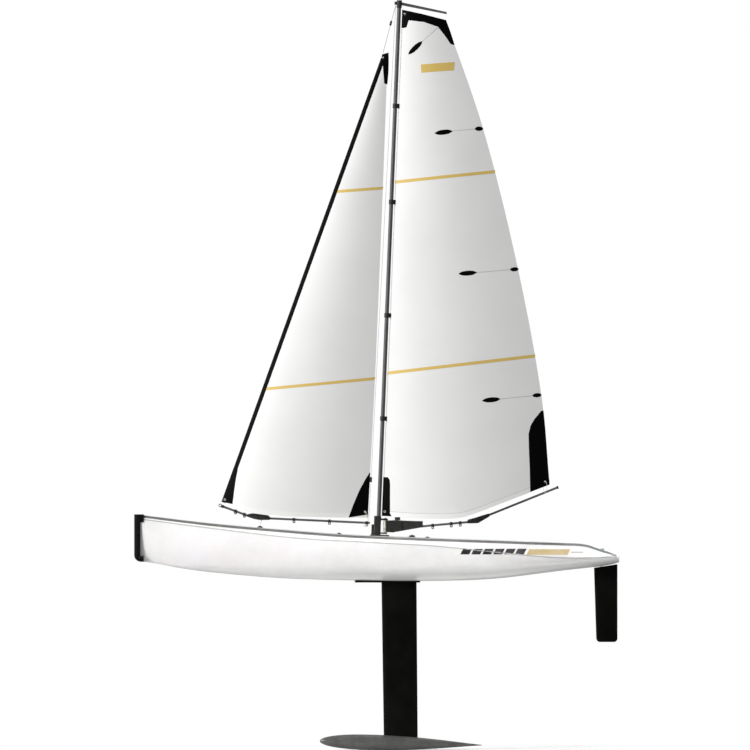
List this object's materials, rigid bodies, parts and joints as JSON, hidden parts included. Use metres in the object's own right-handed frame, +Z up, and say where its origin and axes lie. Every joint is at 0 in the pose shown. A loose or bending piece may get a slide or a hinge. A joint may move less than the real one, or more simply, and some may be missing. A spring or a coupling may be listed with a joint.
{
  "type": "radio-controlled sailboat",
  "caption": "Radio-controlled racing yacht: slim hull with a deep fin keel and bulb, raked mast, cambered mainsail and jib on swinging booms, spade rudder and radio gear under a hatch.",
  "frame": {"origin": "on the centreline, on the underside of the hull at the middle of the keel fin", "axes": "+Z up along the mast side of the boat, +X from bow to stern, +Y to starboard"},
  "size_m": [0.9547, 0.1254, 1.4783],
  "materials": {
    "hull_gloss": "gloss",
    "deck_gloss": "gloss",
    "bumper_rubber": "matte",
    "black_composite": "satin",
    "bulb_paint": "gloss",
    "moulded_nylon": "satin",
    "mast_tube": "dark anodised",
    "steel": "polished",
    "sail_film": "satin",
    "line": "matte",
    "servo_case": "matte",
    "white_plastic": "gloss",
    "cell_wrap": "gloss",
    "glassfibre": "satin"
  },
  "bodies": {
    "hull": {"hull_shell": "hull_gloss", "deck_moulding": "deck_gloss", "bow_bumper": "bumper_rubber", "keel_root_plate": "bumper_rubber", "keel_trunk": "glassfibre", "keel_fin": "black_composite", "keel_bulb": "bulb_paint", "bulb_screw": "steel", "keel_bolt": "steel", "keel_nut": "moulded_nylon", "mast_step": "moulded_nylon", "gooseneck_pin": "steel", "mast_lower": "mast_tube", "mast_joiner": "mast_tube", "mast_upper": "mast_tube", "masthead_cap": "moulded_nylon", "masthead_crane": "mast_tube", "luff_rings": "moulded_nylon", "radio_tray": "glassfibre", "rudder_servo": "servo_case", "sail_winch": "servo_case", "ear_screws": "steel", "receiver": "servo_case", "battery_holder": "servo_case", "battery_cells": "cell_wrap", "switch_body": "servo_case", "rudder_tube": "moulded_nylon", "rudder_top_bush": "moulded_nylon", "sheet_fairleads": "moulded_nylon", "jib_deck_eye": "moulded_nylon", "hatch_rim": "glassfibre"},
    "rudder": {"rudder_blade": "black_composite", "rudder_stock": "steel", "tiller_arm": "moulded_nylon"},
    "servo_horn": {"servo_horn": "white_plastic"},
    "pushrod": {"rudder_pushrod": "steel"},
    "winch_drum": {"winch_drum": "moulded_nylon"},
    "hatch_cover": {"hatch_cover": "deck_gloss"},
    "switch_slider": {"switch_slider": "moulded_nylon"},
    "main_rig": {"gooseneck_sleeve": "steel", "vang_fitting": "moulded_nylon", "main_boom_front": "mast_tube", "main_boom_elbow": "moulded_nylon", "main_boom_rear": "mast_tube", "boom_end_cap": "moulded_nylon", "boom_rings": "moulded_nylon", "mainsail": "sail_film"},
    "vang_knob": {"vang_knob": "moulded_nylon"},
    "jib_rig": {"jib_boom_front": "mast_tube", "jib_boom_elbow": "moulded_nylon", "jib_boom_rear": "mast_tube", "jib_boom_rings": "moulded_nylon", "jib_tack_ring": "moulded_nylon", "jib_swivel": "steel", "jib_sail": "sail_film", "jib_halyard": "line", "halyard_bead": "moulded_nylon", "topping_lift": "line", "topping_bead": "moulded_nylon"}
  },
  "joints": [
    {"name": "main_swing", "type": "hinge", "parent": "hull", "child": "main_rig", "pos_m": [-0.02759, 0, 0.10776], "axis": [0.0401, 0, 0.9992], "range_deg": [-80, 80]},
    {"name": "jib_swing", "type": "hinge", "parent": "hull", "child": "jib_rig", "pos_m": [-0.274, 0, 0.10908], "axis": [0.252, 0, 0.9677], "range_deg": [-80, 80]},
    {"name": "rudder_turn", "type": "hinge", "parent": "hull", "child": "rudder", "pos_m": [0.39898, 0, 0.05], "axis": [0, 0, 1], "range_deg": [-35, 35]},
    {"name": "horn_turn", "type": "hinge", "parent": "hull", "child": "servo_horn", "pos_m": [0.19, 0, 0.05], "axis": [0, 0, 1], "range_deg": [-35, 35]},
    {"name": "pushrod_turn", "type": "hinge", "parent": "servo_horn", "child": "pushrod", "pos_m": [0.19, -0.018, 0.05], "axis": [0, 0, 1], "range_deg": [-35, 35]},
    {"name": "winch_turn", "type": "hinge", "parent": "hull", "child": "winch_drum", "pos_m": [0.088, -0.02, 0.05], "axis": [0, 0, 1], "range_deg": [-630, 630]},
    {"name": "hatch_lift", "type": "slide", "parent": "hull", "child": "hatch_cover", "axis": [0, 0, 1], "range_m": [0, 0.018]},
    {"name": "switch_slide", "type": "slide", "parent": "hull", "child": "switch_slider", "axis": [1, 0, 0], "range_m": [0, 0.004]},
    {"name": "vang_turn", "type": "hinge", "parent": "main_rig", "child": "vang_knob", "pos_m": [-0.003, 0, 0.12], "axis": [0, 0, 1], "continuous": true}
  ],
  "couplings": [
    {"joint": "horn_turn", "follows": "rudder_turn", "ratio": 1},
    {"joint": "pushrod_turn", "follows": "rudder_turn", "ratio": -1}
  ]
}
